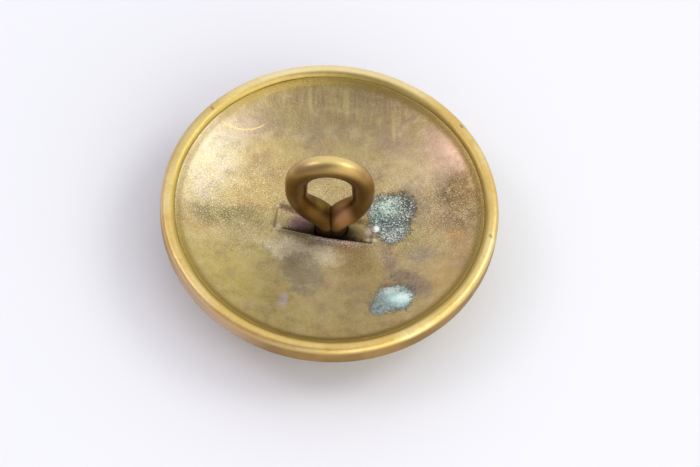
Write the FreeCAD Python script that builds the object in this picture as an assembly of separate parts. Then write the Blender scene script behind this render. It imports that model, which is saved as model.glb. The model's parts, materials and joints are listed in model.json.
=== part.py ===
import FreeCAD, Part
import math
import os

# A sew-on shell button, made of three pieces: a domed front shell, a dished back plate
# that the shell's edge is folded over, and a loop of thick wire whose two legs go
# through the plate. The button lies on its front, with the loop standing up.
#
# Frame: millimetres. The origin is the lowest point of the dome, +Z is the button's
# axis towards the loop, the loop stands in the XZ plane and its eye runs along Y.

V = FreeCAD.Vector

# Overall sizes
button_diameter = 25.4          # 40 button lines
rim_height = 5.5                # dome's lowest point to the top of the rim
loop_rise = 6.0                 # top of the loop above the rim

# Front shell
shell_thickness = 0.45
side_height = 1.26              # upright side, from its lower bend to the top of the rim
side_bend_radius = 1.0          # outside of the bend from the dome into the side
rim_outer_radius = 0.4          # rounding of the rim's outer top edge
rim_inner_radius = 0.15         # rounding of the folded lip's cut edge
lip_width = 1.05                # folded lip, from the button's side to the lip's cut edge

# Back plate
plate_thickness = 0.4
plate_bend_radius = 0.5         # top of the bend between the dish and its flat edge
plate_edge_show = 0.03          # flat edge left bare inside the lip
skirt_height = 0.75             # edge turned down inside the shell
plate_side_clearance = 0.05
lip_clearance = 0.02

# Pocket in the back plate, with a floor that slopes down to the legs
pocket_length = 7.5
pocket_side_room = 0.22         # between the wire and each long wall
pocket_depth = 0.65             # at the legs
pocket_end_depth = 0.12         # below the dish at each end
pocket_turn = -7.5              # degrees about +Z, against the loop

# Loop
wire_diameter = 1.6
eye_width = 3.46                # inside the loop
leg_slope = 42.0                # degrees from upright
leg_bend_radius = 3.2           # from the sides into the sloping legs
foot_bend_radius = 1.2          # from the sloping legs into the plate
leg_straight_rise = 1.1         # where a leg turns upright, above the dish
butt_flat_depth = 0.42          # taken off each leg where the two are pressed together
seam_gap = 0.08                 # between the two legs
leg_hole_clearance = 0.05

# Feet, flattened and spread under the pocket
foot_length = 3.1               # from the button's axis
foot_width = 2.2
foot_thickness = 0.62
foot_end_radius = 0.6
foot_plate_clearance = 0.05
foot_shell_gap = 0.31           # left under the feet

# Worked out from the sizes above
button_radius = button_diameter / 2.0
wire_radius = wire_diameter / 2.0
side_bottom = rim_height - side_height
shell_inner_radius = button_radius - shell_thickness
lip_radius = button_radius - lip_width
lip_underside = rim_height - shell_thickness

pocket_width = wire_diameter + 2.0 * pocket_side_room
pocket_floor = (
    shell_thickness + foot_shell_gap + foot_thickness + foot_plate_clearance + plate_thickness
)
dish_floor = pocket_floor + pocket_depth

plate_top = lip_underside - lip_clearance
plate_radius = shell_inner_radius - plate_side_clearance
plate_bend_centre = lip_radius - plate_edge_show
dish_rise = plate_top - plate_bend_radius - dish_floor
dish_radius = (plate_bend_centre**2 + dish_rise**2 - plate_bend_radius**2) / (
    2.0 * (dish_rise + plate_bend_radius)
)
dish_centre = dish_floor + dish_radius

dome_radius = (
    (button_radius - side_bend_radius) ** 2 + side_bottom**2 - side_bend_radius**2
) / (2.0 * (side_bottom - side_bend_radius))

side_offset = eye_width / 2.0 + wire_radius
leg_offset = wire_radius - butt_flat_depth + seam_gap / 2.0
loop_top = rim_height + loop_rise - wire_radius


def at(across, height):
    """A point in the XZ plane."""
    return V(across, 0.0, height)


def line(start, end):
    return Part.LineSegment(start, end).toShape()


def arc(centre, radius, first, last):
    """An arc in the XZ plane, with its angles in degrees from +X towards +Z."""
    points = []
    for angle in (first, (first + last) / 2.0, last):
        turn = math.radians(angle)
        points.append(centre + at(radius * math.cos(turn), radius * math.sin(turn)))
    return Part.Arc(*points).toShape()


def rounded(before, corner, after, radius):
    """The arc that rounds a corner of a route, with its first and last points."""
    back = (before - corner).normalize()
    on = (after - corner).normalize()
    half = back.getAngle(on) / 2.0
    reach = radius / math.tan(half)
    first = corner + back * reach
    last = corner + on * reach
    middle_line = (back + on).normalize()
    middle = corner + middle_line * (radius / math.sin(half) - radius)
    return Part.Arc(first, middle, last).toShape(), first, last


def turned(edges):
    """The solid that a closed outline in the XZ plane sweeps round the button's axis."""
    face = Part.Face(Part.Wire(edges))
    return face.revolve(V(0, 0, 0), V(0, 0, 1), 360.0)


def across_pocket(points, width):
    """A prism with its outline in the XZ plane and its width along Y, on both sides."""
    outline = Part.makePolygon([at(*p) for p in points + points[:1]])
    prism = Part.Face(outline).extrude(V(0, width, 0))
    prism.translate(V(0, -width / 2.0, 0))
    return prism


def meeting(centre, bend, bend_radius, lean_side):
    """Where an arc about a centre on the axis meets a bend, and its angle from +X."""
    way = (bend - centre).normalize()
    point = bend + way * (bend_radius * lean_side)
    return point, math.degrees(math.atan2(way.z, way.x))


def shell_side(offset):
    """The dome and the bend into the side, at a depth inside the shell's outer face."""
    centre = at(0, dome_radius)
    bend = at(button_radius - side_bend_radius, side_bottom)
    _, lean = meeting(centre, bend, side_bend_radius, 1)
    dome = arc(centre, dome_radius - offset, -90.0, lean)
    corner = arc(bend, side_bend_radius - offset, lean, 0.0)
    return dome, corner


def front_shell():
    outer_dome, outer_corner = shell_side(0.0)
    inner_dome, inner_corner = shell_side(shell_thickness)
    outer_round = at(button_radius - rim_outer_radius, rim_height - rim_outer_radius)
    lip_round = at(lip_radius + rim_inner_radius, rim_height - rim_inner_radius)
    edges = [
        outer_dome,
        outer_corner,
        line(at(button_radius, side_bottom), at(button_radius, outer_round.z)),
        arc(outer_round, rim_outer_radius, 0.0, 90.0),
        line(at(outer_round.x, rim_height), at(lip_round.x, rim_height)),
        arc(lip_round, rim_inner_radius, 90.0, 180.0),
        line(at(lip_radius, lip_round.z), at(lip_radius, lip_underside)),
        line(at(lip_radius, lip_underside), at(shell_inner_radius, lip_underside)),
        line(at(shell_inner_radius, lip_underside), at(shell_inner_radius, side_bottom)),
        inner_corner,
        inner_dome,
        line(at(0, shell_thickness), at(0, 0)),
    ]
    return turned(Part.sortEdges(edges)[0])


def dish_edge():
    """Where the dish's top face ends and the bend to its flat edge begins."""
    bend = at(plate_bend_centre, plate_top - plate_bend_radius)
    return meeting(at(0, dish_centre), bend, plate_bend_radius, -1)


def dish_face(offset):
    """The dish and the bend at its edge, at a depth below the plate's top face."""
    bend = at(plate_bend_centre, plate_top - plate_bend_radius)
    _, lean = dish_edge()
    dish = arc(at(0, dish_centre), dish_radius + offset, -90.0, lean)
    edge = arc(bend, plate_bend_radius - offset, lean + 180.0, 90.0)
    return dish, edge


def dished_plate():
    """The back plate before its pocket is pressed."""
    top_dish, top_edge = dish_face(0.0)
    low_dish, low_edge = dish_face(plate_thickness)
    skirt_radius = plate_radius - plate_thickness
    plate_low = plate_top - plate_thickness
    skirt_low = plate_top - skirt_height
    edges = [
        top_dish,
        top_edge,
        line(at(plate_bend_centre, plate_top), at(plate_radius, plate_top)),
        line(at(plate_radius, plate_top), at(plate_radius, skirt_low)),
        line(at(plate_radius, skirt_low), at(skirt_radius, skirt_low)),
        line(at(skirt_radius, skirt_low), at(skirt_radius, plate_low)),
        line(at(skirt_radius, plate_low), at(plate_bend_centre, plate_low)),
        low_edge,
        low_dish,
        line(at(0, dish_floor - plate_thickness), at(0, dish_floor)),
    ]
    return turned(Part.sortEdges(edges)[0])


def dish_height(radius):
    """The height of the dish's top face at a distance from the axis."""
    return dish_centre - math.sqrt(dish_radius**2 - radius**2)


def pocket_slope():
    """The rise of the pocket's floor for each millimetre along it."""
    end = dish_height(pocket_length / 2.0) - pocket_end_depth
    return (end - pocket_floor) / (pocket_length / 2.0)


def pocket_prism(margin):
    """The room of the pocket, grown by a margin all round, and open at its top."""
    half = pocket_length / 2.0 + margin
    low = pocket_floor - margin * math.hypot(1.0, pocket_slope())
    end = low + half * pocket_slope()
    top = rim_height
    points = [(-half, top), (-half, end), (0.0, low), (half, end), (half, top)]
    prism = across_pocket(points, pocket_width + 2.0 * margin)
    prism.rotate(V(0, 0, 0), V(0, 0, 1), pocket_turn)
    return prism


def upright_edges(solid, beyond):
    """A prism's edges that run along Z, past a distance from the axis along +X."""
    found = []
    for edge in solid.Edges:
        upright = abs(edge.tangentAt(edge.FirstParameter).z) > 0.9
        if upright and min(vertex.X for vertex in edge.Vertexes) > beyond:
            found.append(edge)
    return found


def leg_hole():
    """The hole that the two legs go through, with rounded ends."""
    half_length = leg_offset + wire_radius + leg_hole_clearance
    half_width = wire_radius + leg_hole_clearance
    corner = V(-half_length, -half_width, 0)
    hole = Part.makeBox(2.0 * half_length, 2.0 * half_width, rim_height, corner)
    return hole.makeFillet(wire_radius, upright_edges(hole, -rim_height))


def below_dish():
    """Everything under the dish's top face, out to its edge."""
    top_dish, _ = dish_face(0.0)
    edge, _ = dish_edge()
    outline = [
        top_dish,
        line(edge, at(edge.x, 0)),
        line(at(edge.x, 0), at(0, 0)),
        line(at(0, 0), at(0, dish_floor)),
    ]
    return turned(outline)


def back_plate():
    pressed = pocket_prism(plate_thickness).common(below_dish())
    plate = dished_plate().fuse(pressed)
    return plate.cut(pocket_prism(0.0)).cut(leg_hole()).removeSplitter()


def foot():
    """The flattened end of the +X leg, lying along the underside of the pocket."""
    slope = pocket_slope()
    lean = math.hypot(1.0, slope)
    top = pocket_floor - (plate_thickness + foot_plate_clearance) * lean
    low = top - foot_thickness * lean
    near = seam_gap / 2.0
    far = foot_length
    points = [
        (near, top + near * slope),
        (far, top + far * slope),
        (far, low + far * slope),
        (near, low + near * slope),
    ]
    pad = across_pocket(points, foot_width)
    pad = pad.makeFillet(foot_end_radius, upright_edges(pad, near + foot_end_radius))
    pad.rotate(V(0, 0, 0), V(0, 0, 1), pocket_turn)
    return pad


def half_loop():
    """The +X half of the loop: half of the crown, a side, a leg and its foot."""
    crown_centre = at(0, loop_top - side_offset)
    foot_turn = at(leg_offset, dish_floor + leg_straight_rise)
    leg_rise = (side_offset - leg_offset) / math.tan(math.radians(leg_slope))
    side_turn = at(side_offset, foot_turn.z + leg_rise)
    side_top = at(side_offset, crown_centre.z)
    leg_end = at(leg_offset, pocket_floor - plate_thickness - foot_thickness / 2.0)
    side_arc, side_low, leg_high = rounded(side_top, side_turn, foot_turn, leg_bend_radius)
    foot_arc, leg_low, upright_high = rounded(side_turn, foot_turn, leg_end, foot_bend_radius)
    route = Part.Wire(
        [
            arc(crown_centre, side_offset, 90.0, 0.0),
            line(side_top, side_low),
            side_arc,
            line(leg_high, leg_low),
            foot_arc,
            line(upright_high, leg_end),
        ]
    )
    ring = Part.Wire(Part.makeCircle(wire_radius, at(0, loop_top), V(1, 0, 0)))
    wire = route.makePipeShell([ring], True, False)
    reach = 2.0 * side_offset
    pressed_off = Part.makeBox(
        reach, reach, side_turn.z, V(seam_gap / 2.0 - reach, -reach / 2.0, 0)
    )
    return wire.cut(pressed_off).fuse(foot())


def shank_loop():
    half = half_loop()
    other = half.copy()
    other.rotate(V(0, 0, 0), V(0, 0, 1), 180.0)
    return half.fuse(other).removeSplitter()


nodes = {
    "front_shell": front_shell(),
    "back_plate": back_plate(),
    "shank_loop": shank_loop(),
}

os.makedirs("parts", exist_ok=True)
for name, shape in nodes.items():
    if not shape.isValid() or len(shape.Solids) != 1:
        raise ValueError(f"{name} is not one valid solid")
    shape.Solids[0].exportStep(f"parts/{name}.step")
    print(name, "volume", round(shape.Volume, 2))
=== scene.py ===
"""A worn brass sew-on button: a domed shell folded over a dished plate, with a wire loop to sew by."""

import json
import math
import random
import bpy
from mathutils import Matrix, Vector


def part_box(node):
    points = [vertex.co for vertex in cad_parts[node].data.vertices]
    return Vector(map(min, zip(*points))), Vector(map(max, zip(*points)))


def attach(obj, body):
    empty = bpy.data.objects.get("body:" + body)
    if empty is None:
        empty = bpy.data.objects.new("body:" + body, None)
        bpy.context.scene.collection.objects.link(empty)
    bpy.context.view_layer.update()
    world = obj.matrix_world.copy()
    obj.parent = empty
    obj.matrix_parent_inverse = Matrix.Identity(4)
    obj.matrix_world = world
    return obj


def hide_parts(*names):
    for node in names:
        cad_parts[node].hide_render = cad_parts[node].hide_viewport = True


bl_info = {
    "name": "Sew-on Shell Button",
    "version": (1, 0, 0),
    "blender": (4, 5, 0),
    "location": "View3D > Sidebar > Button",
    "description": "Builds a worn brass shell button with its plate, loop and corrosion",
    "category": "Add Mesh",
}

import bmesh
import bpy
from bpy.props import FloatProperty, FloatVectorProperty, PointerProperty
from mathutils import Matrix, Vector, noise

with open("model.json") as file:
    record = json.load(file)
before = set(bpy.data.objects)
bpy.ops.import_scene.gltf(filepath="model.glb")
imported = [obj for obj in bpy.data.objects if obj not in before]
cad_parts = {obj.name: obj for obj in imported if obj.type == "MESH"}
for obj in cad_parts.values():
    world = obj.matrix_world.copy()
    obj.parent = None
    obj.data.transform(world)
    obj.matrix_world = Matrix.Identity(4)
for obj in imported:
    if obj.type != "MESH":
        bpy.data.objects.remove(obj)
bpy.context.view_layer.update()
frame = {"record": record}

MM = 0.001
_, SHELL_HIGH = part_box("front_shell")
_, PLATE_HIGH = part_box("back_plate")
_, LOOP_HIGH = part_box("shank_loop")
EYE = next(mount for mount in frame["record"]["mounts"] if mount["name"] == "shank_eye")

# Places on the dish that a shape and a finish share, in millimetres from the axis.
POCKET_MIDDLE = Vector((-0.29, -0.12, 0.0))
POCKET_TURN = math.radians(-7.1)
WHITE_DOT = (3.56, -0.28)


# ---------------------------------------------------------------- sizes and colours


def length(name, description, default):
    return FloatProperty(
        name=name, description=description, default=default, subtype="DISTANCE", unit="LENGTH", precision=5
    )


def colour(name, description, default):
    return FloatVectorProperty(
        name=name, description=description, default=default, subtype="COLOR", size=3, min=0.0, max=1.0
    )


class ButtonSizes(bpy.types.PropertyGroup):
    """Sizes of the button, in metres."""

    button_radius: length("Button radius", "Axis to the outside of the rim", SHELL_HIGH.x)
    rim_height: length("Rim height", "Lowest point of the dome to the top of the rim", SHELL_HIGH.z)
    shell_thickness: length("Shell thickness", "Sheet of the front shell", 0.45 * MM)
    side_height: length("Side height", "Upright side under the rim", 1.26 * MM)
    side_bend: length("Side bend", "Radius from the dome into the side", 1.0 * MM)
    lip_width: length("Lip width", "Folded lip, across the rim", 1.05 * MM)
    plate_thickness: length("Plate thickness", "Sheet of the back plate", 0.4 * MM)
    plate_bend: length("Plate bend", "Radius from the dish to its flat edge", 0.15 * MM)
    plate_radius: length("Plate radius", "Axis to the plate's edge", PLATE_HIGH.x)
    plate_top: length("Plate top", "Height of the plate's flat edge", PLATE_HIGH.z)
    skirt: length("Skirt", "Edge of the plate turned down inside the shell", 0.75 * MM)
    dish_floor: length("Dish floor", "Height of the middle of the dish", 2.48 * MM)
    pocket_length: length("Pocket length", "Along the pressed pocket", 7.5 * MM)
    pocket_width: length("Pocket width", "Across the pressed pocket", 2.04 * MM)
    pocket_depth: length("Pocket depth", "At the loop's legs", 0.65 * MM)
    pocket_end_depth: length("Pocket end depth", "At the pocket's two ends", 0.12 * MM)
    wire: length("Wire", "Diameter of the loop's wire", 1.6 * MM)
    eye_width: length("Eye width", "Inside width of the loop", 3.46 * MM)
    loop_top: length("Loop top", "Height of the top of the loop", LOOP_HIGH.z)


class ButtonColours(bpy.types.PropertyGroup):
    """Colours of the button's metal and of what has grown on it."""

    bright_brass: colour("Bright brass", "Worn rim", (0.78, 0.61, 0.275))
    tarnish: colour("Tarnish", "Dull film in the dish", (0.46, 0.35, 0.17))
    wire_brown: colour("Wire brown", "Patina of the loop", (0.48, 0.29, 0.10))
    verdigris: colour("Verdigris", "Pale green corrosion", (0.52, 0.80, 0.71))


def in_mm(value):
    return value / MM


# ---------------------------------------------------------------- mesh tools


class Outline:
    """A chain of edges in the XZ plane, drawn by extruding and spinning its last vertex."""

    def __init__(self, bm, across, height):
        self.bm = bm
        self.tip = bmesh.ops.create_vert(bm, co=(across, 0.0, height))["vert"][0]

    def line(self, across, height, steps=1):
        step = (Vector((across, 0.0, height)) - self.tip.co) / steps
        for _ in range(steps):
            self.tip = bmesh.ops.extrude_vert_indiv(self.bm, verts=[self.tip])["verts"][0]
            bmesh.ops.translate(self.bm, vec=step, verts=[self.tip])
        return self

    def arc(self, centre, degrees, steps):
        """Turns about a centre; positive angles run from +Z towards +X."""
        made = bmesh.ops.spin(
            self.bm,
            geom=[self.tip],
            cent=(centre[0], 0.0, centre[1]),
            axis=(0.0, 1.0, 0.0),
            angle=math.radians(degrees),
            steps=steps,
        )
        self.tip = next(g for g in made["geom_last"] if isinstance(g, bmesh.types.BMVert))
        return self


def turn_outline(bm, steps):
    """Spins everything drawn so far round the button's axis, and closes the seam and poles."""
    bmesh.ops.spin(
        bm,
        geom=bm.verts[:] + bm.edges[:],
        cent=(0.0, 0.0, 0.0),
        axis=(0.0, 0.0, 1.0),
        angle=math.tau,
        steps=steps,
        use_merge=True,
    )
    bmesh.ops.remove_doubles(bm, verts=bm.verts, dist=1e-4)
    bmesh.ops.recalc_face_normals(bm, faces=bm.faces)


def finish_piece(bm, name, replaces=None, material=None):
    """Scales a bmesh from millimetres, makes it an object that rides on the frame, and returns it."""
    bmesh.ops.scale(bm, vec=(MM, MM, MM), verts=bm.verts)
    for face in bm.faces:
        face.smooth = True
    mesh = bpy.data.meshes.new(name)
    bm.to_mesh(mesh)
    bm.free()
    piece = bpy.data.objects.new(name, mesh)
    bpy.context.scene.collection.objects.link(piece)
    if material:
        mesh.materials.append(material)
    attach(piece, "root")
    if replaces:
        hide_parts(replaces)
    return piece


def dish_curve(sizes):
    """The dish's radius and its middle's height, and where the bend to the flat edge has its centre."""
    bend = in_mm(sizes.plate_bend)
    lip_room = 0.03
    across = in_mm(sizes.button_radius - sizes.lip_width) - lip_room
    height = in_mm(sizes.plate_top) - bend
    rise = height - in_mm(sizes.dish_floor)
    radius = (across**2 + rise**2 - bend**2) / (2.0 * (rise + bend))
    return radius, in_mm(sizes.dish_floor) + radius, across, height


def dish_height(sizes, out):
    """The height of the dish at a distance from the axis."""
    radius, middle, _, _ = dish_curve(sizes)
    return middle - math.sqrt(radius**2 - out**2)


def smooth_step(low, high, value):
    share = min(max((value - low) / (high - low), 0.0), 1.0)
    return share * share * (3.0 - 2.0 * share)


def ripple(place, size, seed):
    """Smooth noise from -1 to 1 at a point in millimetres."""
    return noise.noise(Vector(place) / size + Vector((seed, 3.1 * seed, 1.7 * seed)))


# ---------------------------------------------------------------- shader tools


class Link:
    """A value in a node tree. Sums and products of links add Math nodes."""

    def __init__(self, nodes, socket):
        self.nodes = nodes
        self.socket = socket

    def __add__(self, other):
        return self.nodes.maths("ADD", self, other)

    def __sub__(self, other):
        return self.nodes.maths("SUBTRACT", self, other)

    def __rsub__(self, other):
        return self.nodes.maths("SUBTRACT", other, self)

    def __mul__(self, other):
        return self.nodes.maths("MULTIPLY", self, other)

    def __truediv__(self, other):
        return self.nodes.maths("DIVIDE", self, other)

    __radd__ = __add__
    __rmul__ = __mul__

    def most(self, other):
        return self.nodes.maths("MAXIMUM", self, other)

    def ramp(self, low, high):
        """0 below low, 1 above high, and smooth between; low may be the larger."""
        span = {"From Min": min(low, high), "From Max": max(low, high)}
        ends = {"To Min": float(low > high), "To Max": float(low < high)}
        settings = {"interpolation_type": "SMOOTHSTEP", "clamp": True}
        return self.nodes.add("ShaderNodeMapRange", settings, {"Value": self, **span, **ends})


class Nodes:
    """A node tree, and the ways to add to it."""

    def __init__(self, tree):
        self.tree = tree

    def add(self, kind, settings, inputs, output=0):
        """Adds a node: its settings first, then the values or links of its sockets."""
        node = self.tree.nodes.new(kind)
        for name, value in settings.items():
            setattr(node, name, value)
        for key, value in inputs.items():
            self.feed(node.inputs[key], value)
        return Link(self, node.outputs[output])

    def feed(self, socket, value):
        if isinstance(value, Link):
            self.tree.links.new(value.socket, socket)
        else:
            socket.default_value = value

    def maths(self, operation, a, b):
        return self.add("ShaderNodeMath", {"operation": operation}, {0: a, 1: b})

    def vector(self, operation, a, b=None, output="Vector", **inputs):
        more = {} if b is None else {1: b}
        return self.add("ShaderNodeVectorMath", {"operation": operation}, {0: a, **more, **inputs}, output)

    def mix(self, share, a, b):
        """Colour a, going to colour b with the share."""
        settings = {"data_type": "RGBA", "clamp_factor": True}
        return self.add("ShaderNodeMix", settings, {0: share, 6: self.rgb(a), 7: self.rgb(b)}, 2)

    def rgb(self, value):
        return value if isinstance(value, Link) else (*value[:3], 1.0)


class Recipe(Nodes):
    """A node material as it is written, with the piece's coordinates in millimetres."""

    def __init__(self, name):
        self.material = bpy.data.materials.new(name)
        self.material.use_nodes = True
        super().__init__(self.material.node_tree)
        self.shader = self.tree.nodes["Principled BSDF"]
        place = self.add("ShaderNodeTexCoord", {}, {}, "Object")
        self.place = self.vector("SCALE", place, Scale=1.0 / MM)
        self.x = self.add("ShaderNodeSeparateXYZ", {}, {0: self.place}, "X")
        self.y = self.add("ShaderNodeSeparateXYZ", {}, {0: self.place}, "Y")
        self.z = self.add("ShaderNodeSeparateXYZ", {}, {0: self.place}, "Z")
        self.flat = self.add("ShaderNodeCombineXYZ", {}, {"X": self.x, "Y": self.y})
        self.radius = self.vector("LENGTH", self.flat, output="Value")

    def cloud(self, size, detail=3.0, rough=0.5, seed=0.0, stretch=(1, 1, 1)):
        """Noise about 0.5, with its blotches a size in millimetres, drawn out along its axes."""
        scale = tuple(1.0 / (size * s) for s in stretch)
        settings = {"vector_type": "POINT"}
        inputs = {0: self.place, "Location": (seed, -seed, 2 * seed), "Scale": scale}
        spot = self.add("ShaderNodeMapping", settings, inputs)
        values = {"Vector": spot, "Scale": 1.0, "Detail": detail, "Roughness": rough}
        return self.add("ShaderNodeTexNoise", {"normalize": True}, values, "Fac")

    def blot(self, centre, size, turn=0.0, edge=0.35, ragged=0.0, by=None):
        """A soft oval patch about a centre: 1 inside, 0 outside, its edge broken by noise."""
        place = self.flat if len(centre) == 2 else self.place
        middle = (*centre, 0.0)[:3]
        reach = (*size, 1.0)[:3]
        # Only turned patches get a Mapping node: with one for each, the dish renders black in Cycles.
        if turn:
            facing = {"Rotation": (0.0, 0.0, math.radians(turn))}
            inputs = {0: place, "Location": middle, "Scale": reach, **facing}
            spot = self.add("ShaderNodeMapping", {"vector_type": "TEXTURE"}, inputs)
        else:
            spot = self.vector("DIVIDE", self.vector("SUBTRACT", place, middle), reach)
        out = self.vector("LENGTH", spot, output="Value")
        if by is not None:
            out = out + (by - 0.5) * ragged
        return out.ramp(1.0 + edge, 1.0 - edge)

    def bump(self, height, distance, strength=1.0, under=None):
        more = {} if under is None else {"Normal": under}
        inputs = {"Height": height, "Distance": distance * MM, "Strength": strength, **more}
        return self.add("ShaderNodeBump", {}, inputs, "Normal")

    def finish(self, **inputs):
        for key, value in inputs.items():
            self.feed(self.shader.inputs[key.replace("_", " ")], value)
        return self.material


# ---------------------------------------------------------------- finishes


def shell_brass(colours):
    """Folded rim and dome: pale gold where it rubs, browner on the side and in the lip's crevice, with a
    painted sheen on the far rim, painted shade on its far left and a painted pinkish reflection low on the
    near left.
    """
    r = Recipe("shell_brass")
    rim = in_mm(SHELL_HIGH.z)
    wide = r.cloud(3.5, 4.0, 0.55, 1.0)
    fine = r.cloud(0.35, 5.0, 0.6, 2.0)
    grain = r.cloud(0.08, 2.0, 0.5, 3.0)
    top = r.z.ramp(rim - 0.55, rim - 0.12)
    base = r.mix(wide.ramp(0.35, 0.65), colours.bright_brass, (0.68, 0.47, 0.15))
    base = r.mix(fine.ramp(0.5, 0.8) * 0.4, base, (0.86, 0.71, 0.40))
    base = r.mix(fine.ramp(0.45, 0.3) * 0.35, base, (0.52, 0.34, 0.10))
    side = r.mix(wide.ramp(0.4, 0.65), (0.33, 0.20, 0.06), (0.43, 0.27, 0.085))
    side = r.mix(fine.ramp(0.45, 0.25) * 0.6, side, (0.30, 0.17, 0.06))
    base = r.mix(top, side, base)
    # Painted sheen: the top of the rim paler on the far side.
    base = r.mix(r.y.ramp(8.5, 12.0) * top * 0.5, base, (0.94, 0.82, 0.52))
    # Painted shade: the top of the rim darker on the far left.
    base = r.mix(r.blot((-10.6, 5.5), (3.0, 5.0), 30, 0.5) * top * 0.5, base, (0.58, 0.47, 0.20))
    # Painted reflection: a pale pinkish patch on the side at the near left.
    base = r.mix(r.blot((-9.0, -9.0), (4.5, 4.5), 0, 0.5) * (1.0 - top) * 0.6, base, (0.72, 0.54, 0.40))
    slope = r.radius.ramp(12.12, 11.84)
    base = r.mix(slope * 0.85, base, (0.47, 0.35, 0.085))
    for across, along in ((12.1, -2.0), (-9.3, 7.9), (9.7, 7.6)):
        nick = r.blot((across, along), (0.11, 0.2), 40, 0.6)
        base = r.mix(nick * 0.7, base, (0.28, 0.19, 0.08))
    rough = 0.33 + fine * 0.14 + (1.0 - top) * 0.1
    relief = r.bump(grain, 0.01, 0.6, r.bump(fine, 0.03, 0.5))
    return r.finish(Base_Color=base, Metallic=1.0, Roughness=rough, Normal=relief)


def plate_brass(colours):
    """The dish: tarnished brass, cloudy and speckled, with stains, painted sheens and a painted reflection
    of the loop, painted shade in the pocket, and green corrosion.
    """
    r = Recipe("plate_brass")
    wide = r.cloud(4.5, 4.0, 0.6, 4.0)
    mottle = r.cloud(1.1, 5.0, 0.65, 5.0)
    fray = r.cloud(0.6, 5.0, 0.65, 12.0)
    fine = r.cloud(0.28, 4.0, 0.6, 6.0)
    grain = r.cloud(0.085, 2.0, 0.5, 7.0)
    base = r.mix(wide.ramp(0.35, 0.65), colours.tarnish, (0.50, 0.355, 0.145))
    base = stains_and_sheens(r, base, fray)
    patch = r.cloud(2.4, 4.0, 0.6, 13.0)
    base = r.mix(patch.ramp(0.50, 0.62) * 0.35, base, (0.50, 0.41, 0.15))
    base = r.mix(patch.ramp(0.49, 0.38) * 0.35, base, (0.34, 0.265, 0.16))
    base = r.mix(mottle.ramp(0.50, 0.64) * 0.35, base, (0.64, 0.54, 0.29))
    base = r.mix(mottle.ramp(0.48, 0.36) * 0.30, base, (0.27, 0.195, 0.10))
    base = streaked(r, base)
    bright_side = r.blot((-11.5, 4.5), (3.5, 6.5), -10, 0.5)
    ring = r.radius.ramp(10.7, 11.45) * (0.92 - 0.7 * bright_side)
    base = r.mix(ring, base, (0.38, 0.265, 0.06))
    crisp = 0.25 + 0.75 * r.blot((0.0, 0.5), (14.0, 4.0), edge=0.6)
    base = r.mix(grain.ramp(0.54, 0.68) * 0.55 * crisp, base, (0.88, 0.79, 0.56))
    base = r.mix(grain.ramp(0.45, 0.32) * 0.6 * crisp, base, (0.13, 0.09, 0.045))
    base = pocket_marks(r, base, grain)
    base, green = verdigris_on(r, base, fray, fine, colours)
    rough = 0.33 + fine * 0.10 + green * 0.35
    relief = r.bump(grain, 0.014, 0.8, r.bump(fine, 0.04, 0.5))
    relief = r.bump(green * (0.4 + fine), 0.10, 1.0, relief)
    return r.finish(Base_Color=base, Metallic=0.92 - green * 0.9, Roughness=rough, Normal=relief)


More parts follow.
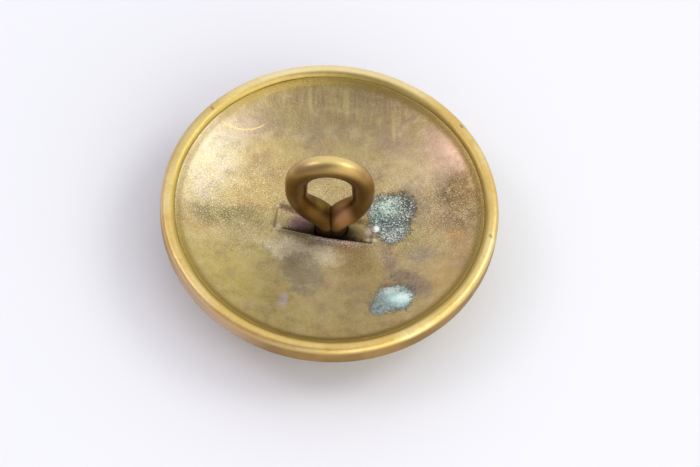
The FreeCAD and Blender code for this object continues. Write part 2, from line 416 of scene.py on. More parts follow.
def stains_and_sheens(r, base, fray):
    """Lays the dish's stains and dark smudges, its painted sheens and the loop's painted reflection over
    its base colour, the broad ones first.
    """
    stains = (
        # colour, strength, centre, size, turn, soft edge
        ((0.58, 0.455, 0.21), 0.6, (-0.5, -5.5), (9.0, 4.5), 0, 0.5),
        ((0.36, 0.265, 0.14), 0.65, (0.5, 9.1), (7.5, 2.2), 0, 0.5),
        # painted sheen on the left wall
        ((0.58, 0.53, 0.43), 0.65, (-9.1, 4.2), (1.9, 4.4), -22, 0.6),
        # painted coppery sheen on the right wall
        ((0.62, 0.43, 0.33), 0.75, (9.2, 5.0), (1.4, 3.4), 37, 0.55),
        ((0.50, 0.40, 0.10), 0.65, (-7.2, -6.0), (3.8, 2.2), -40, 0.6),
        ((0.52, 0.44, 0.13), 0.60, (-4.8, -2.9), (1.3, 0.9), 0, 0.6),
        ((0.50, 0.40, 0.12), 0.50, (-1.5, -9.4), (3.2, 1.2), 0, 0.6),
        ((0.50, 0.42, 0.14), 0.50, (6.2, -1.0), (1.0, 1.2), 0, 0.6),
        ((0.56, 0.35, 0.13), 0.70, (9.6, -4.0), (1.5, 3.6), -20, 0.6),
        ((0.62, 0.36, 0.12), 0.60, (9.6, -1.3), (0.9, 0.6), 0, 0.6),
        ((0.25, 0.20, 0.075), 0.85, (-7.4, -0.25), (2.8, 0.85), 8, 0.8),
        ((0.19, 0.155, 0.06), 0.80, (-9.0, -0.5), (1.1, 0.75), 0, 0.7),
        # painted coppery sheen on the right wall, further out
        ((0.84, 0.58, 0.43), 0.70, (9.9, 5.2), (1.1, 2.6), 28, 0.6),
        ((0.30, 0.22, 0.12), 0.80, (8.9, 2.6), (2.0, 2.2), 10, 0.8),
        ((0.085, 0.065, 0.03), 0.95, (9.3, 2.6), (1.05, 1.1), 10, 0.8),
        ((0.20, 0.12, 0.045), 0.85, (10.0, 3.0), (1.1, 0.8), 30, 0.8),
        ((0.30, 0.20, 0.11), 0.70, (9.4, 0.3), (1.6, 0.9), 0, 0.8),
        ((0.26, 0.165, 0.06), 0.90, (10.6, 1.5), (1.4, 2.6), 0, 0.7),
        # painted reflection of the loop in the dish: a pale smear and its darker tongue
        ((0.95, 0.84, 0.60), 0.90, (-1.8, -2.6), (2.7, 1.2), -6, 0.5),
        ((0.34, 0.29, 0.185), 0.80, (-1.7, -4.7), (1.6, 2.0), 8, 0.15),
        ((0.30, 0.19, 0.17), 0.75, (4.7, -3.2), (0.55, 1.3), 20, 0.8),
        ((0.30, 0.19, 0.18), 0.75, (6.2, -5.3), (0.7, 1.7), 45, 0.8),
        ((0.30, 0.24, 0.22), 0.50, (6.9, -2.9), (1.2, 0.7), 0, 0.8),
        ((0.58, 0.48, 0.55), 0.80, (-3.1, -7.5), (0.30, 0.7), -10, 0.6),
        ((0.62, 0.36, 0.26), 0.60, (0.2, -5.7), (0.5, 0.25), 10, 0.8),
        ((0.22, 0.11, 0.13), 0.85, (-2.2, -0.1), (0.8, 0.85), 0, 0.4),
        ((0.60, 0.48, 0.30), 0.50, (6.3, 4.3), (2.0, 1.6), -20, 0.7),
        ((0.40, 0.29, 0.22), 0.45, (5.0, 6.6), (2.4, 1.0), -20, 0.7),
        ((0.36, 0.27, 0.17), 0.55, (-3.5, 7.6), (3.0, 1.0), -8, 0.7),
        ((0.52, 0.38, 0.30), 0.45, (-6.3, 7.2), (1.2, 0.9), 0, 0.6),
        ((0.34, 0.24, 0.15), 0.50, (6.4, 8.2), (2.6, 1.0), -35, 0.7),
    )
    for colour_of, strength, centre, size, turn, edge in stains:
        base = r.mix(r.blot(centre, size, turn, edge, 1.3, fray) * strength, base, colour_of)
    return base


def streaked(r, base):
    """Drawing streaks down the far and near walls of the dish, and one curved scratch."""
    streak = r.cloud(0.22, 3.0, 0.6, 15.0, (1.0, 12.0, 12.0))
    far = r.blot((0.8, 9.8), (6.0, 1.6), edge=0.5)
    base = r.mix(streak.ramp(0.54, 0.66) * far * 0.35, base, (0.62, 0.48, 0.20))
    base = r.mix(streak.ramp(0.46, 0.36) * far * 0.30, base, (0.26, 0.18, 0.08))
    for across, along, width in ((-1.9, 10.0, 0.16), (0.9, 9.8, 0.22), (4.6, 8.0, 0.14)):
        base = r.mix(r.blot((across, along), (width, 1.1), 6, 0.6) * 0.45, base, (0.68, 0.53, 0.22))
    near = r.blot((0.5, -10.0), (7.0, 1.2), edge=0.5)
    base = r.mix(streak.ramp(0.52, 0.66) * near * 0.6, base, (0.60, 0.47, 0.18))
    apart = r.vector("DISTANCE", r.flat, (-7.2, 9.9, 0.0), output="Value")
    arc = apart.ramp(2.88, 2.96) * apart.ramp(3.08, 3.0) * r.blot((-6.7, 7.0), (1.7, 0.9), edge=0.3)
    return r.mix(arc * 0.7, base, (0.80, 0.60, 0.26))


def pocket_marks(r, base, grain):
    """Painted shade along the foot of the pocket's near wall and round the legs, painted glints on its near
    lip and near corners, and darker lines at its edges.
    """
    pocket = {"Location": tuple(POCKET_MIDDLE), "Rotation": (0.0, 0.0, POCKET_TURN)}
    spot = r.add("ShaderNodeMapping", {"vector_type": "TEXTURE"}, {0: r.flat, **pocket})
    along = r.add("ShaderNodeSeparateXYZ", {}, {0: spot}, "X")
    aside = r.add("ShaderNodeSeparateXYZ", {}, {0: spot}, "Y")
    inside = aside.ramp(-1.06, -1.0) * aside.ramp(1.2, 0.8)
    half_length = 3.7
    length_share = along * along / half_length**2
    floor = inside * length_share.ramp(1.1, 0.95)
    base = r.mix(floor * 0.45, base, (0.37, 0.295, 0.16))
    base = r.mix(floor * grain.ramp(0.46, 0.36) * 0.5, base, (0.14, 0.095, 0.06))
    base = r.mix(r.blot((2.0, -0.1), (1.0, 0.6), -7, 0.6) * 0.5, base, (0.52, 0.41, 0.13))
    base = r.mix(r.blot((-2.1, 0.0), (0.75, 0.65), 0, 0.6, 1.2, grain) * 0.75, base, (0.21, 0.10, 0.125))
    # Painted shade along the foot of the near wall, widest in the middle.
    reach = (1.0 - length_share) * 0.60 - 0.98
    near_wall_shade = (aside - reach + (grain - 0.5) * 0.5).ramp(0.30, -0.12) * floor
    base = r.mix(near_wall_shade * 0.92, base, (0.050, 0.030, 0.020))
    # Painted shade round the foot of the legs.
    base = r.mix(r.blot((0.3, -0.45), (1.8, 0.85), -7, 0.5) * 0.95, base, (0.040, 0.024, 0.016))
    from_end = along + 3.8
    end = from_end.ramp(-0.30, -0.02) * from_end.ramp(0.30, 0.02)
    base = r.mix(end * aside.ramp(-1.1, -0.7) * aside.ramp(1.2, 0.7) * 0.45, base, (0.17, 0.12, 0.07))
    from_top = aside - 1.05
    top = from_top.ramp(-0.25, -0.02) * from_top.ramp(0.2, 0.02)
    base = r.mix(top * along.ramp(-2.0, -2.6) * along.ramp(-4.0, -3.6) * 0.5, base, (0.17, 0.12, 0.07))
    # Painted glint: a pinkish tone sparkling with highlights along the near lip.
    lip = aside.ramp(-1.9, -1.2) * aside.ramp(-1.03, -1.10)
    lip = lip * along.ramp(-1.6, 0.2) * along.ramp(3.4, 2.4)
    base = r.mix(lip * 0.3, base, (0.50, 0.38, 0.33))
    base = r.mix(lip * grain.ramp(0.46, 0.56) * 0.9, base, (1.0, 0.90, 0.84))
    under = aside.ramp(-1.6, -1.2) * aside.ramp(-1.03, -1.10)
    under = under * along.ramp(-0.4, -1.4) * along.ramp(-3.9, -3.2)
    base = r.mix(under * 0.5, base, (0.20, 0.145, 0.10))
    # Painted highlights at the pocket's two near corners.
    left = r.blot((-3.8, -0.5), (0.26, 0.30), -35, 0.6)
    right = r.blot((3.25, -1.25), (0.42, 0.16), -12, 0.6)
    base = r.mix(left * 0.7, base, (0.72, 0.64, 0.42))
    base = r.mix(right * 0.85, base, (0.95, 0.86, 0.66))
    return r.mix(r.blot((2.35, -1.15), (0.14, 0.14), 0, 0.8) * 0.4, base, (0.20, 0.30, 0.08))


def crust_tone(r, colours):
    """Colour of the corrosion by place: mint, white, teal and grey zones, finely speckled."""
    fray = r.cloud(0.45, 4.0, 0.6, 32.0)
    speck = r.cloud(0.12, 3.0, 0.7, 21.0)
    tone = r.mix(speck.ramp(0.40, 0.58), (0.13, 0.155, 0.12), (0.42, 0.51, 0.43))
    zones = (
        # colour, strength, centre, size
        ((0.25, 0.31, 0.30), 0.90, (5.0, -6.9), (2.6, 2.2)),
        ((0.62, 0.80, 0.66), 0.75, (4.3, 1.6), (1.1, 0.85)),
        ((0.09, 0.23, 0.19), 0.85, (3.75, 0.7), (0.55, 0.4)),
        ((0.08, 0.11, 0.11), 0.85, (4.6, 0.1), (0.7, 0.6)),
        ((0.10, 0.095, 0.07), 0.90, (5.8, 1.7), (0.6, 1.5)),
        ((0.52, 0.51, 0.47), 0.70, (5.05, -0.95), (0.65, 0.6)),
        ((0.34, 0.31, 0.29), 0.80, (5.9, -5.2), (1.0, 0.6)),
        ((0.62, 0.70, 0.66), 0.85, (4.9, -6.1), (0.75, 0.4)),
        ((0.48, 0.38, 0.38), 0.80, (6.9, -6.1), (0.6, 0.45)),
    )
    for colour_of, strength, centre, size in zones:
        tone = r.mix(r.blot(centre, size, 0, 0.7, 1.1, fray) * strength, tone, colour_of)
    vein = r.cloud(0.5, 3.0, 0.6, 26.0)
    tone = r.mix(vein.ramp(0.48, 0.38) * 0.75, tone, (0.12, 0.15, 0.145))
    tone = r.mix(r.blot((5.6, -6.95), (0.9, 0.62), 0, 0.7, 0.8, fray) * 0.95, tone, colours.verdigris)
    tone = r.mix(r.blot((5.7, -6.9), (0.55, 0.35), 0, 0.8) * 0.85, tone, (0.82, 0.95, 0.90))
    sharp = 0.3 + 0.7 * r.y.ramp(-4.0, -2.0)
    tone = r.mix(speck.ramp(0.54, 0.61) * 0.85 * sharp, tone, (0.86, 0.94, 0.85))
    return r.mix(speck.ramp(0.46, 0.38) * 0.8 * sharp, tone, (0.05, 0.06, 0.045))


def verdigris_on(r, base, fray, fine, colours):
    """Two crusted patches of green corrosion; gives the colour and how much of it is crust."""
    speck = r.cloud(0.14, 3.0, 0.7, 24.0)
    shape = r.cloud(0.7, 4.0, 0.6, 23.0)
    patches = (
        # centre, size, turn
        ((4.45, 0.9), (1.4, 1.7), 8),
        ((5.5, 1.4), (0.9, 1.3), 0),
        ((4.9, -0.3), (1.2, 1.3), 0),
        ((5.1, -6.9), (1.5, 1.3), 12),
        ((4.2, -7.8), (0.85, 0.7), 30),
    )
    green = r.blot(*patches[0], 0.5, 1.0, shape)
    for patch in patches[1:]:
        green = green.most(r.blot(*patch, 0.5, 1.0, shape))
    halo = r.blot((5.9, 1.4), (1.2, 1.7), 0, 0.6, 1.6, fray)
    halo = halo.most(r.blot((5.9, -5.4), (1.7, 1.2), -20, 0.6, 1.4, fray))
    base = r.mix(halo * (0.35 + 0.5 * fine.ramp(0.55, 0.42)), base, (0.21, 0.175, 0.13))
    cover = (green + (speck - 0.5) * 2.2).ramp(0.25, 0.75) * green.ramp(0.0, 0.3)
    base = r.mix(cover, base, crust_tone(r, colours))
    base = r.mix(r.blot((3.15, -0.5), (0.32, 0.3), 0, 0.8, 2.5, speck) * 0.6, base, (0.78, 0.68, 0.62))
    dot = r.blot(WHITE_DOT, (0.30, 0.30), 0, 0.15)
    base = r.mix(dot, base, (0.93, 0.97, 0.92))
    base = r.mix(r.blot((4.5, -5.35), (0.2, 0.2), 0, 0.8) * 0.6, base, (0.62, 0.26, 0.11))
    return base, cover.most(dot)


def crust_green(colours):
    """The grains of corrosion: chalky, from dark teal to nearly white."""
    r = Recipe("crust_green")
    speck = r.cloud(0.25, 3.0, 0.6, 31.0)
    base = r.mix(r.blot(WHITE_DOT, (0.5, 0.5)), crust_tone(r, colours), (0.93, 0.97, 0.92))
    return r.finish(Base_Color=base, Metallic=0.0, Roughness=0.8, Normal=r.bump(speck, 0.02, 0.8))


def wire_brass(colours):
    """The loop: smooth brass, with painted light on its top and painted shade on its front, inside the eye
    and where it enters the plate, and painted glints on the legs.
    """
    r = Recipe("wire_brass")
    wide = r.cloud(1.5, 3.0, 0.5, 8.0)
    fine = r.cloud(0.2, 4.0, 0.6, 9.0)
    base = r.mix(wide.ramp(0.35, 0.7), colours.wire_brown, (0.62, 0.44, 0.16))
    upright = r.add("ShaderNodeCombineXYZ", {}, {"X": r.x, "Z": r.z})
    apart = r.vector("DISTANCE", upright, (-0.25, 0.0, 8.0), output="Value")
    # Painted light: the top of the loop paler.
    lit_top = r.z.ramp(10.2, 11.3)
    base = r.mix(lit_top * 0.8, base, (0.80, 0.62, 0.25))
    # Painted shade: the front side of the wire darker.
    base = r.mix(r.y.ramp(0.1, -0.6) * 0.8, base, (0.25, 0.145, 0.04))
    # Painted shade inside the eye, below the crown.
    eye_shade = apart.ramp(3.25, 2.45) * r.z.ramp(10.9, 9.9)
    base = r.mix(eye_shade * 0.85, base, (0.13, 0.068, 0.016))
    base = r.mix(r.z.ramp(7.4, 5.4) * 0.75, base, (0.15, 0.078, 0.02))
    base = r.mix(r.blot((-1.2, -0.6, 4.6), (1.5, 1.3, 1.9), edge=0.4) * 0.8, base, (0.10, 0.05, 0.012))
    # Painted coppery sheen on the front of the right leg.
    leg_sheen = r.blot((1.0, -0.7, 4.8), (0.7, 0.9, 1.0), 0, 0.7, 0.4, wide)
    base = r.mix(leg_sheen * 0.9, base, (0.74, 0.42, 0.18))
    # Painted glint: an olive patch on the inner side of the left leg.
    base = r.mix(r.blot((-1.0, 0.2, 5.0), (0.7, 0.7, 0.45), edge=0.5) * 0.7, base, (0.26, 0.19, 0.03))
    # Painted shade on the legs where they enter the pocket.
    low = r.z.ramp(3.7, 2.8)
    base = r.mix(low * 0.9, base, (0.07, 0.04, 0.02))
    rough = 0.33 + fine * 0.1 + r.z.ramp(6.5, 4.5) * 0.12 + low * 0.3
    return r.finish(Base_Color=base, Metallic=1.0, Roughness=rough, Normal=r.bump(fine, 0.01, 0.5))


# ---------------------------------------------------------------- operators


class BUTTON_OT_shell(bpy.types.Operator):
    """Spin the domed front shell with its side and folded lip"""

    bl_idname = "button.shell"
    bl_label = "Front Shell"

    def execute(self, context):
        sizes = context.scene.button_sizes
        radius = in_mm(sizes.button_radius)
        rim = in_mm(sizes.rim_height)
        sheet = in_mm(sizes.shell_thickness)
        bend = in_mm(sizes.side_bend)
        side_low = rim - in_mm(sizes.side_height)
        lip = radius - in_mm(sizes.lip_width)
        dome = ((radius - bend) ** 2 + side_low**2 - bend**2) / (2.0 * (side_low - bend))
        lean = math.degrees(math.atan2(radius - bend, dome - side_low))
        outer_round, slope_round, edge_round = 0.44, 0.64, 0.10
        slope, tuck = 56.0, 44.0
        seat = 0.02
        crown = lip + slope_round * math.sin(math.radians(slope)) - seat
        inward = slope_round - edge_round
        edge = (
            crown - inward * math.sin(math.radians(slope)),
            rim - slope_round + inward * math.cos(math.radians(slope)),
        )
        bm = bmesh.new()
        line = Outline(bm, 0.0, 0.0)
        line.arc((0.0, dome), -lean, 32)
        line.arc((radius - bend, side_low), lean - 90.0, 12)
        line.line(radius, rim - outer_round, 5)
        line.arc((radius - outer_round, rim - outer_round), -90.0, 10)
        line.line(crown, rim, 1)
        line.arc((crown, rim - slope_round), -slope, 10)
        line.arc(edge, -tuck, 4)
        line.line(lip + seat, rim - sheet, 1)
        line.line(radius - sheet, rim - sheet, 4)
        line.line(radius - sheet, side_low, 3)
        line.arc((radius - bend, side_low), 90.0 - lean, 8)
        line.arc((0.0, dome), lean, 16)
        turn_outline(bm, 480)
        for vert in bm.verts:
            self.wear(vert, radius, rim, lip)
        finish_piece(bm, "shell", "front_shell", shell_brass(context.scene.button_colours))
        return {"FINISHED"}

    def wear(self, vert, radius, rim, lip):
        """Moves a vertex for the crimp's unevenness: the lip wavers and its top dips a little."""
        co = vert.co
        out = math.hypot(co.x, co.y)
        if out < 1e-6:
            return
        way = Vector((co.x / out, co.y / out, 0.0))
        near_lip = smooth_step(lip + 0.5, lip, out) * smooth_step(rim - 0.6, rim - 0.3, co.z)
        waver = ripple(way * radius, 3.0, 2.0) * 0.05 + ripple(way * radius, 0.9, 5.0) * 0.015
        co += way * waver * near_lip
        top = smooth_step(rim - 0.6, rim, co.z)
        co.z -= top * 0.012 * (1.0 + ripple(co, 1.4, 8.0))
        inward = 0.012 * (1.0 + ripple(co, 2.2, 11.0)) * smooth_step(radius - 0.5, radius, out)
        co -= way * inward


class BUTTON_OT_plate(bpy.types.Operator):
    """Spin the dished back plate and press the loop's pocket into it"""

    bl_idname = "button.plate"
    bl_label = "Back Plate"

    cut_reach = 5.5
    floor_tilt = 0.22
    lip_rise = 0.05
    hole_reach = 2.4
    hole_corner = 0.35
    leg_offset = 0.42
    leg_shift = 0.22
    edge_rise = 0.125
    mounds = (
        # across, along, reach, height
        (5.5, -6.8, 1.1, 0.09),
        (4.4, -7.4, 0.8, 0.04),
        (4.5, 1.2, 1.4, 0.05),
    )

    def execute(self, context):
        sizes = context.scene.button_sizes
        radius = in_mm(sizes.plate_radius)
        top = in_mm(sizes.plate_top)
        floor = in_mm(sizes.dish_floor)
        self.dish, self.dish_centre, bend_across, bend_height = dish_curve(sizes)
        lean = math.degrees(math.atan2(bend_across, self.dish_centre - bend_height))
        bm = bmesh.new()
        line = Outline(bm, 0.0, floor)
        line.arc((0.0, self.dish_centre), -lean, 90)
        line.arc((bend_across, bend_height), lean, 6)
        edge = 0.1
        line.line(radius - edge, top, 3)
        line.arc((radius - edge, top - edge), 90.0, 3)
        line.line(radius, top - in_mm(sizes.skirt), 2)
        turn_outline(bm, 180)
        if sum(f.normal.z for f in bm.faces) < 0.0:
            bmesh.ops.reverse_faces(bm, faces=bm.faces)
        self.press_pocket(bm, sizes)
        self.cut_leg_hole(bm, sizes)
        for vert in bm.verts:
            self.wear(vert, in_mm(sizes.button_radius - sizes.lip_width))
        material = plate_brass(context.scene.button_colours)
        piece = finish_piece(bm, "plate", "back_plate", material)
        sheet = piece.modifiers.new("sheet", "SOLIDIFY")
        sheet.thickness = sizes.plate_thickness
        sheet.offset = -1.0
        sheet.use_even_offset = True
        return {"FINISHED"}

    def cut(self, bm, across, along, reach, limit):
        """Cuts the faces within a distance of the axis along a line at a distance from it."""
        geom = [f for f in bm.faces if f.calc_center_median().xy.length < limit]
        edges = {e for f in geom for e in f.edges}
        verts = {v for f in geom for v in f.verts}
        normal = Vector((across, along, 0.0)).normalized()
        bmesh.ops.bisect_plane(
            bm, geom=[*verts, *edges, *geom], dist=1e-4, plane_co=normal * reach, plane_no=normal
        )

    def press_pocket(self, bm, sizes):
        """Cuts lines beside the pocket's walls, then lowers the floor between them."""
        self.half_length = in_mm(sizes.pocket_length) / 2.0
        self.half_width = in_mm(sizes.pocket_width) / 2.0
        self.depth = in_mm(sizes.pocket_depth)
        self.end_depth = in_mm(sizes.pocket_end_depth)
        c, s = math.cos(POCKET_TURN), math.sin(POCKET_TURN)
        middle = POCKET_MIDDLE.x * c + POCKET_MIDDLE.y * s
        aside_middle = -POCKET_MIDDLE.x * s + POCKET_MIDDLE.y * c
        for offset in (-0.3, -0.2, -0.12, -0.06, -0.02, 0.02, 0.06, 0.12, 0.2):
            for side in (-1, 1):
                wall = side * aside_middle + self.half_width + offset
                end = side * middle + self.half_length + offset
                self.cut(bm, -s * side, c * side, wall, self.cut_reach)
                self.cut(bm, c * side, s * side, end, self.cut_reach)
        self.cut(bm, c, s, middle, self.cut_reach)
        for vert in bm.verts:
            place = vert.co - POCKET_MIDDLE
            along = place.x * c + place.y * s
            aside = -place.x * s + place.y * c
            if abs(along) > self.half_length + 0.5 or abs(aside) > self.half_width + 0.5:
                continue
            near = smooth_step(-self.half_width - 0.02, -self.half_width + 0.03, aside)
            far = smooth_step(self.half_width + 0.25, self.half_width - 0.45, aside)
            ends = smooth_step(self.half_length + 0.12, self.half_length - 0.22, abs(along))
            share = min(abs(along) / self.half_length, 1.0)
            middle_low = self.dish_centre - self.dish - self.depth
            end_low = dish_height(sizes, self.half_length) - self.end_depth
            low = middle_low + (end_low - middle_low) * share
            low += self.floor_tilt * (1.0 - share) * smooth_step(-self.half_width, self.half_width, aside)
            vert.co.z += (min(low, vert.co.z) - vert.co.z) * near * far * ends
            lip = smooth_step(0.35, 0.0, abs(aside + self.half_width + 0.05)) * (1.0 - near)
            lip *= smooth_step(self.half_length, self.half_length - 1.0, abs(along))
            vert.co.z += self.lip_rise * lip

    def cut_leg_hole(self, bm, sizes):
        """Opens the pocket's floor round the two legs."""
        room = 0.02
        half_wire = in_mm(sizes.wire) / 2.0 + room
        half_legs = half_wire + self.leg_offset
        self.cut(bm, 1, 0, half_legs + self.leg_shift, self.hole_reach)
        self.cut(bm, -1, 0, half_legs - self.leg_shift, self.hole_reach)
        self.cut(bm, 0, 1, half_wire, self.hole_reach)
        self.cut(bm, 0, -1, half_wire, self.hole_reach)
        corner = half_legs + half_wire - self.hole_corner
        for across in (-1, 1):
            for along in (-1, 1):
                slant = (corner + across * self.leg_shift) / math.sqrt(2.0)
                self.cut(bm, across, along, slant, self.hole_reach)
        inside = []
        for face in bm.faces:
            spot = face.calc_center_median()
            across, along = abs(spot.x - self.leg_shift), abs(spot.y)
            if across < half_legs and along < half_wire and across + along < corner:
                inside.append(face)
        bmesh.ops.delete(bm, geom=inside, context="FACES")

    def wear(self, vert, lip):
        """Raises the edge to meet the lip, and adds slow dents and the mounds under the corrosion."""
        out = vert.co.xy.length
        free = smooth_step(lip - 0.45, lip - 2.15, out)
        raised = smooth_step(lip - 0.65, lip - 0.05, out) * smooth_step(lip + 0.09, lip + 0.01, out)
        vert.co.z += self.edge_rise * raised
        vert.co.z += free * (0.035 * ripple(vert.co, 4.5, 1.0) + 0.015 * ripple(vert.co, 1.6, 4.0))
        for across, along, reach, height in self.mounds:
            apart = math.hypot(vert.co.x - across, vert.co.y - along)
            vert.co.z += height * smooth_step(reach, 0.2 * reach, apart) * (1.0 + ripple(vert.co, 0.4, 7.0))


class BUTTON_OT_crust(bpy.types.Operator):
    """Scatter the raised grains of corrosion over the two green patches"""

    bl_idname = "button.crust"
    bl_label = "Corrosion Grains"

    patches = (
        # centre, size, grains, largest grain
        ((4.5, 0.9), (1.3, 1.7), 280, 0.065),
        ((5.5, 1.5), (0.9, 1.4), 110, 0.055),
        ((4.9, -0.4), (1.1, 1.2), 90, 0.055),
        ((5.1, -6.9), (1.4, 1.2), 170, 0.07),
        ((4.2, -7.7), (0.8, 0.6), 60, 0.06),
    )

    def execute(self, context):
        sizes = context.scene.button_sizes
        draw = random.Random(11)
        bm = bmesh.new()
        for centre, size, count, largest in self.patches:
            for _ in range(count):
                out, turn = draw.random() ** 0.6, draw.random() * math.tau
                across = centre[0] + size[0] * out * math.cos(turn)
                along = centre[1] + size[1] * out * math.sin(turn)
                grain = largest * (0.35 + 0.65 * draw.random() ** 2) * (1.1 - 0.6 * out)
                self.grain(bm, draw, sizes, across, along, grain)
        self.grain(bm, draw, sizes, *WHITE_DOT, 0.25)
        finish_piece(bm, "crust", material=crust_green(context.scene.button_colours))
        return {"FINISHED"}

    def grain(self, bm, draw, sizes, across, along, size):
        """One flattened lump, half sunk in the dish."""
        made = bmesh.ops.create_icosphere(bm, subdivisions=1, radius=size)["verts"]
        for vert in made:
            vert.co *= 1.0 + 0.35 * (draw.random() - 0.5)
        bmesh.ops.scale(bm, verts=made, vec=(1.0, 0.8 + 0.4 * draw.random(), 0.45))
        spin = Matrix.Rotation(draw.random() * math.tau, 3, "Z")
        bmesh.ops.rotate(bm, verts=made, cent=(0.0, 0.0, 0.0), matrix=spin)
        height = dish_height(sizes, math.hypot(across, along))
        bmesh.ops.translate(bm, verts=made, vec=(across, along, height + 0.01))


class BUTTON_OT_loop(bpy.types.Operator):
    """Sweep the wire loop, press its two legs together and spread their feet"""

    bl_idname = "button.loop"
    bl_label = "Wire Loop"

    leg_slope = math.radians(42.0)
    leg_bend = 3.2
    foot_bend = 1.2
    foot_turn = 1.1
    foot_drop = 0.62
    foot_spread = Vector((1.9, 0.0, 0.38))
    foot_flare = 1.35
    seam_gap = 0.02
    seam_round = 0.05
    flat_depth = 0.42
    leg_squeeze = 0.38
    eye_thickening = 0.10
    shift = 0.11
    leg_shift = 0.13
    lean = 0.045
    lean_from = 2.6

    def execute(self, context):
        sizes = context.scene.button_sizes
        wire = in_mm(sizes.wire) / 2.0
        half = in_mm(sizes.eye_width) / 2.0 + wire
        crown = in_mm(sizes.loop_top) - wire - half
        foot_across = wire - self.flat_depth + self.seam_gap / 2.0
        turn_height = in_mm(sizes.dish_floor) + self.foot_turn
        corner_height = turn_height + (half - foot_across) / math.tan(self.leg_slope)
        reach = self.leg_bend * math.tan(self.leg_slope / 2.0)
        foot_reach = self.foot_bend * math.tan(self.leg_slope / 2.0)
        leg = Vector((-math.sin(self.leg_slope), 0.0, -math.cos(self.leg_slope)))
        leg_run = (half - foot_across) / math.sin(self.leg_slope) - reach - foot_reach
        pocket_low = in_mm(sizes.dish_floor - sizes.pocket_depth - sizes.plate_thickness)
        bm = bmesh.new()
        ring = bmesh.ops.create_circle(
            bm, segments=40, radius=wire, matrix=Matrix.Rotation(math.pi / 2.0, 4, "Y")
        )["verts"]
        bmesh.ops.translate(bm, verts=ring, vec=(0.0, 0.0, crown + half))
        self.ring = ring + list({e for v in ring for e in v.link_edges})
        self.bend(bm, (0.0, crown), 90.0, 36)
        self.run(bm, Vector((0.0, 0.0, corner_height + reach - crown)), 8)
        self.bend(bm, (half - self.leg_bend, corner_height + reach), math.degrees(self.leg_slope), 14)
        self.run(bm, leg * leg_run, 14)
        upright = turn_height - foot_reach
        self.bend(bm, (foot_across + self.foot_bend, upright), -math.degrees(self.leg_slope), 8)
        self.run(bm, Vector((0.0, 0.0, pocket_low - upright)), 6)
        self.run(bm, Vector((0.0, 0.0, -self.foot_drop)), 1)
        self.cap(bm)
        self.press_flat(bm, corner_height)
        self.spread_foot(bm, pocket_low)
        self.mirror(bm)
        for vert in bm.verts:
            self.wear(vert)
        finish_piece(bm, "loop", "shank_loop", wire_brass(context.scene.button_colours))
        return {"FINISHED"}

    def bend(self, bm, centre, degrees, steps):
        made = bmesh.ops.spin(
            bm,
            geom=self.ring,
            cent=(centre[0], 0.0, centre[1]),
            axis=(0.0, 1.0, 0.0),
            angle=math.radians(degrees),
            steps=steps,
        )
        self.ring = made["geom_last"]

    def run(self, bm, vec, steps):
        for _ in range(steps):
            edges = [g for g in self.ring if isinstance(g, bmesh.types.BMEdge)]
            made = bmesh.ops.extrude_edge_only(bm, edges=edges)["geom"]
            verts = [g for g in made if isinstance(g, bmesh.types.BMVert)]
            bmesh.ops.translate(bm, verts=verts, vec=vec / steps)
            moved = set(verts)
            self.ring = verts + [
                g for g in made if isinstance(g, bmesh.types.BMEdge) and set(g.verts) <= moved
            ]

    def cap(self, bm):
        edges = [g for g in self.ring if isinstance(g, bmesh.types.BMEdge)]
        bmesh.ops.holes_fill(bm, edges=edges, sides=0)

    def press_flat(self, bm, below):
        """Cuts the inner side of the leg flat and softens the cut's edge."""
        faces = [f for f in bm.faces if max(v.co.z for v in f.verts) < below]
        verts = {v for f in faces for v in f.verts}
        edges = {e for f in faces for e in f.edges}
        cut = bmesh.ops.bisect_plane(
            bm,
            geom=[*verts, *edges, *faces],
            dist=1e-5,
            plane_co=(self.seam_gap / 2.0, 0.0, 0.0),
            plane_no=(1.0, 0.0, 0.0),
            clear_inner=True,
        )["geom_cut"]
        edges = [g for g in cut if isinstance(g, bmesh.types.BMEdge)]
        bmesh.ops.holes_fill(bm, edges=edges, sides=0)
        bmesh.ops.bevel(
            bm,
            geom=[e for e in edges if e.is_valid],
            offset=self.seam_round,
            offset_type="OFFSET",
            segments=4,
            profile=0.5,
            affect="EDGES",
            material=-1,
            clamp_overlap=True,
        )
        bmesh.ops.recalc_face_normals(bm, faces=bm.faces)

    def spread_foot(self, bm, top):
        """Draws the outer side of the leg's end out along the underside of the plate."""
        faces = [
            f
            for f in bm.faces
            if f.normal.x > 0.25 and f.calc_center_median().z < top - 0.01 and abs(f.normal.z) < 0.5
        ]
        made = bmesh.ops.extrude_face_region(bm, geom=faces)["geom"]
        bmesh.ops.delete(bm, geom=[f for f in faces if f.is_valid], context="FACES")
        verts = [g for g in made if isinstance(g, bmesh.types.BMVert)]
        bmesh.ops.translate(bm, verts=verts, vec=self.foot_spread)
        bmesh.ops.scale(bm, verts=verts, vec=(1.0, self.foot_flare, 1.0))

    def mirror(self, bm):
        """Copies the half loop to the other side and joins the two at the crown."""
        made = bmesh.ops.duplicate(bm, geom=bm.verts[:] + bm.edges[:] + bm.faces[:])["geom"]
        verts = [g for g in made if isinstance(g, bmesh.types.BMVert)]
        bmesh.ops.rotate(bm, verts=verts, cent=(0, 0, 0), matrix=Matrix.Rotation(math.pi, 3, "Z"))
        bmesh.ops.remove_doubles(bm, verts=bm.verts, dist=1e-4)
        bmesh.ops.recalc_face_normals(bm, faces=bm.faces)

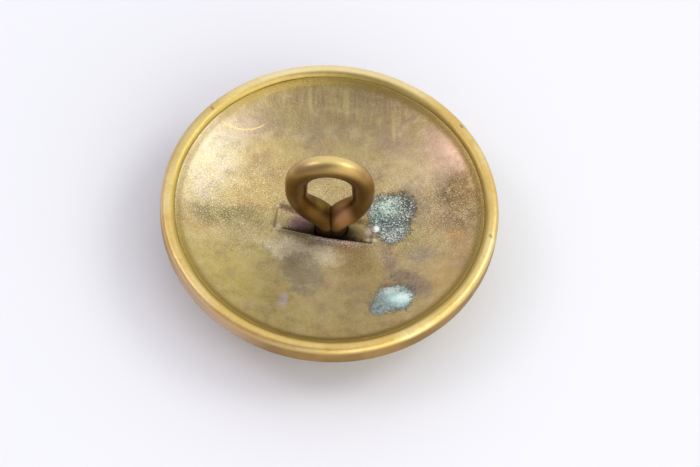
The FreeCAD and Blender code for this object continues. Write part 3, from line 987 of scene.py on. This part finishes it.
    def wear(self, vert):
        """Squeezes the legs wider, thickens the wire inside the eye, and leans and waves the loop."""
        co = vert.co
        co.y *= 1.0 + self.leg_squeeze * smooth_step(6.2, 4.4, co.z) * smooth_step(2.6, 3.4, co.z)
        outward = co - Vector((0.0, co.y, in_mm(EYE["pos_m"][2])))
        inner = smooth_step(2.6, 1.75, outward.length) * smooth_step(6.4, 7.4, co.z)
        co -= outward.normalized() * self.eye_thickening * inner
        base_shift = self.shift + self.leg_shift * smooth_step(6.0, 3.0, co.z)
        co.x += base_shift - self.lean * max(co.z - self.lean_from, 0.0)
        shift = Vector((ripple(co, 2.6, 3.0), ripple(co, 2.6, 6.0), 0.0)) * 0.03
        shift += Vector((ripple(co, 0.8, 9.0), ripple(co, 0.8, 12.0), 0.0)) * 0.008
        co += shift * smooth_step(2.2, 3.2, co.z)


class BUTTON_OT_stage(bpy.types.Operator):
    """Set the pale floor, the soft lamps and the camera"""

    bl_idname = "button.stage"
    bl_label = "Stage"

    lamp_distance = 0.6
    camera_distance = 0.24

    def execute(self, context):
        self.floor(context)
        self.lamps(context)
        self.camera(context)
        context.scene.view_settings.view_transform = "Standard"
        return {"FINISHED"}

    def floor(self, context):
        bm = bmesh.new()
        bmesh.ops.create_grid(bm, x_segments=1, y_segments=1, size=1.5)
        mesh = bpy.data.meshes.new("floor")
        bm.to_mesh(mesh)
        bm.free()
        floor = bpy.data.objects.new("floor", mesh)
        context.scene.collection.objects.link(floor)
        r = Recipe("pale_floor")
        mesh.materials.append(r.finish(Base_Color=(0.83, 0.84, 0.86, 1.0), Roughness=0.75))

    def lamps(self, context):
        world = bpy.data.worlds.new("studio")
        world.use_nodes = True
        nodes = Nodes(world.node_tree)
        way = nodes.add("ShaderNodeTexCoord", {}, {}, "Generated")
        to_window = nodes.vector("DOT_PRODUCT", way, (0.85, 0.18, 0.30), output="Value")
        to_dim = nodes.vector("DOT_PRODUCT", way, (-0.02, -0.52, 0.855), output="Value")
        glow = nodes.mix(to_window.ramp(-0.8, 0.35), (0.50, 0.46, 0.70), (1.03, 1.045, 1.065))
        glow = nodes.mix(to_dim.ramp(0.80, 0.97) * 0.75, glow, (0.05, 0.05, 0.05))
        nodes.feed(world.node_tree.nodes["Background"].inputs["Color"], glow)
        context.scene.world = world
        self.lamp(context, "left_softbox", 166.0, 50.0, 0.22, 0.38, (1.0, 0.84, 0.78))
        self.lamp(context, "right_softbox", 17.0, 48.0, 0.26, 0.62, (1.0, 0.98, 0.93))
        self.lamp(context, "front_fill", -52.0, 26.0, 0.8, 1.8, (1.0, 0.97, 0.97))

    def lamp(self, context, name, around, elevation, size, power, tint):
        """A round lamp that faces the button, its bearing from +X towards +Y in degrees."""
        around, elevation = math.radians(around), math.radians(elevation)
        level = math.cos(elevation)
        way = Vector((level * math.cos(around), level * math.sin(around), math.sin(elevation)))
        place = way * self.lamp_distance
        light = bpy.data.lights.new(name, "AREA")
        light.shape = "DISK"
        light.size = size
        light.energy = power
        light.color = tint
        lamp = bpy.data.objects.new(name, light)
        lamp.location = place
        lamp.rotation_euler = place.to_track_quat("Z", "Y").to_euler()
        context.scene.collection.objects.link(lamp)

    def camera(self, context):
        azimuth, elevation, roll = (math.radians(a) for a in (-2.5, 58.85, 5.5))
        away = Vector(
            (
                math.sin(azimuth) * math.cos(elevation),
                -math.cos(azimuth) * math.cos(elevation),
                math.sin(elevation),
            )
        )
        data = bpy.data.cameras.new("camera")
        data.sensor_width = 36.0
        data.lens = 165.0
        data.clip_start = 0.01
        camera = bpy.data.objects.new("camera", data)
        turn = away.to_track_quat("Z", "Y").to_matrix() @ Matrix.Rotation(roll, 3, "Z")
        right, up = turn.col[0], turn.col[1]
        aim = Vector((0.0, 0.0, SHELL_HIGH.z)) + right * 1.49 * MM - up * 2.23 * MM
        camera.matrix_world = Matrix.Translation(aim + away * self.camera_distance) @ turn.to_4x4()
        context.scene.collection.objects.link(camera)
        context.scene.camera = camera


class BUTTON_PT_panel(bpy.types.Panel):
    """The button's sizes, colours and pieces"""

    bl_idname = "BUTTON_PT_panel"
    bl_label = "Sew-on Button"
    bl_space_type = "VIEW_3D"
    bl_region_type = "UI"
    bl_category = "Button"

    def draw(self, context):
        for group in (context.scene.button_sizes, context.scene.button_colours):
            box = self.layout.box()
            for name in group.__annotations__:
                box.prop(group, name)
        for operator in PIECES:
            self.layout.operator(operator.bl_idname)


PIECES = (BUTTON_OT_shell, BUTTON_OT_plate, BUTTON_OT_crust, BUTTON_OT_loop, BUTTON_OT_stage)
CLASSES = (ButtonSizes, ButtonColours, *PIECES, BUTTON_PT_panel)


def register():
    for made in CLASSES:
        bpy.utils.register_class(made)
    bpy.types.Scene.button_sizes = PointerProperty(type=ButtonSizes)
    bpy.types.Scene.button_colours = PointerProperty(type=ButtonColours)


def unregister():
    del bpy.types.Scene.button_colours
    del bpy.types.Scene.button_sizes
    for made in reversed(CLASSES):
        bpy.utils.unregister_class(made)


def main():
    register()
    bpy.ops.button.shell()
    bpy.ops.button.plate()
    bpy.ops.button.crust()
    bpy.ops.button.loop()
    bpy.ops.button.stage()


if __name__ == "__main__":
    main()
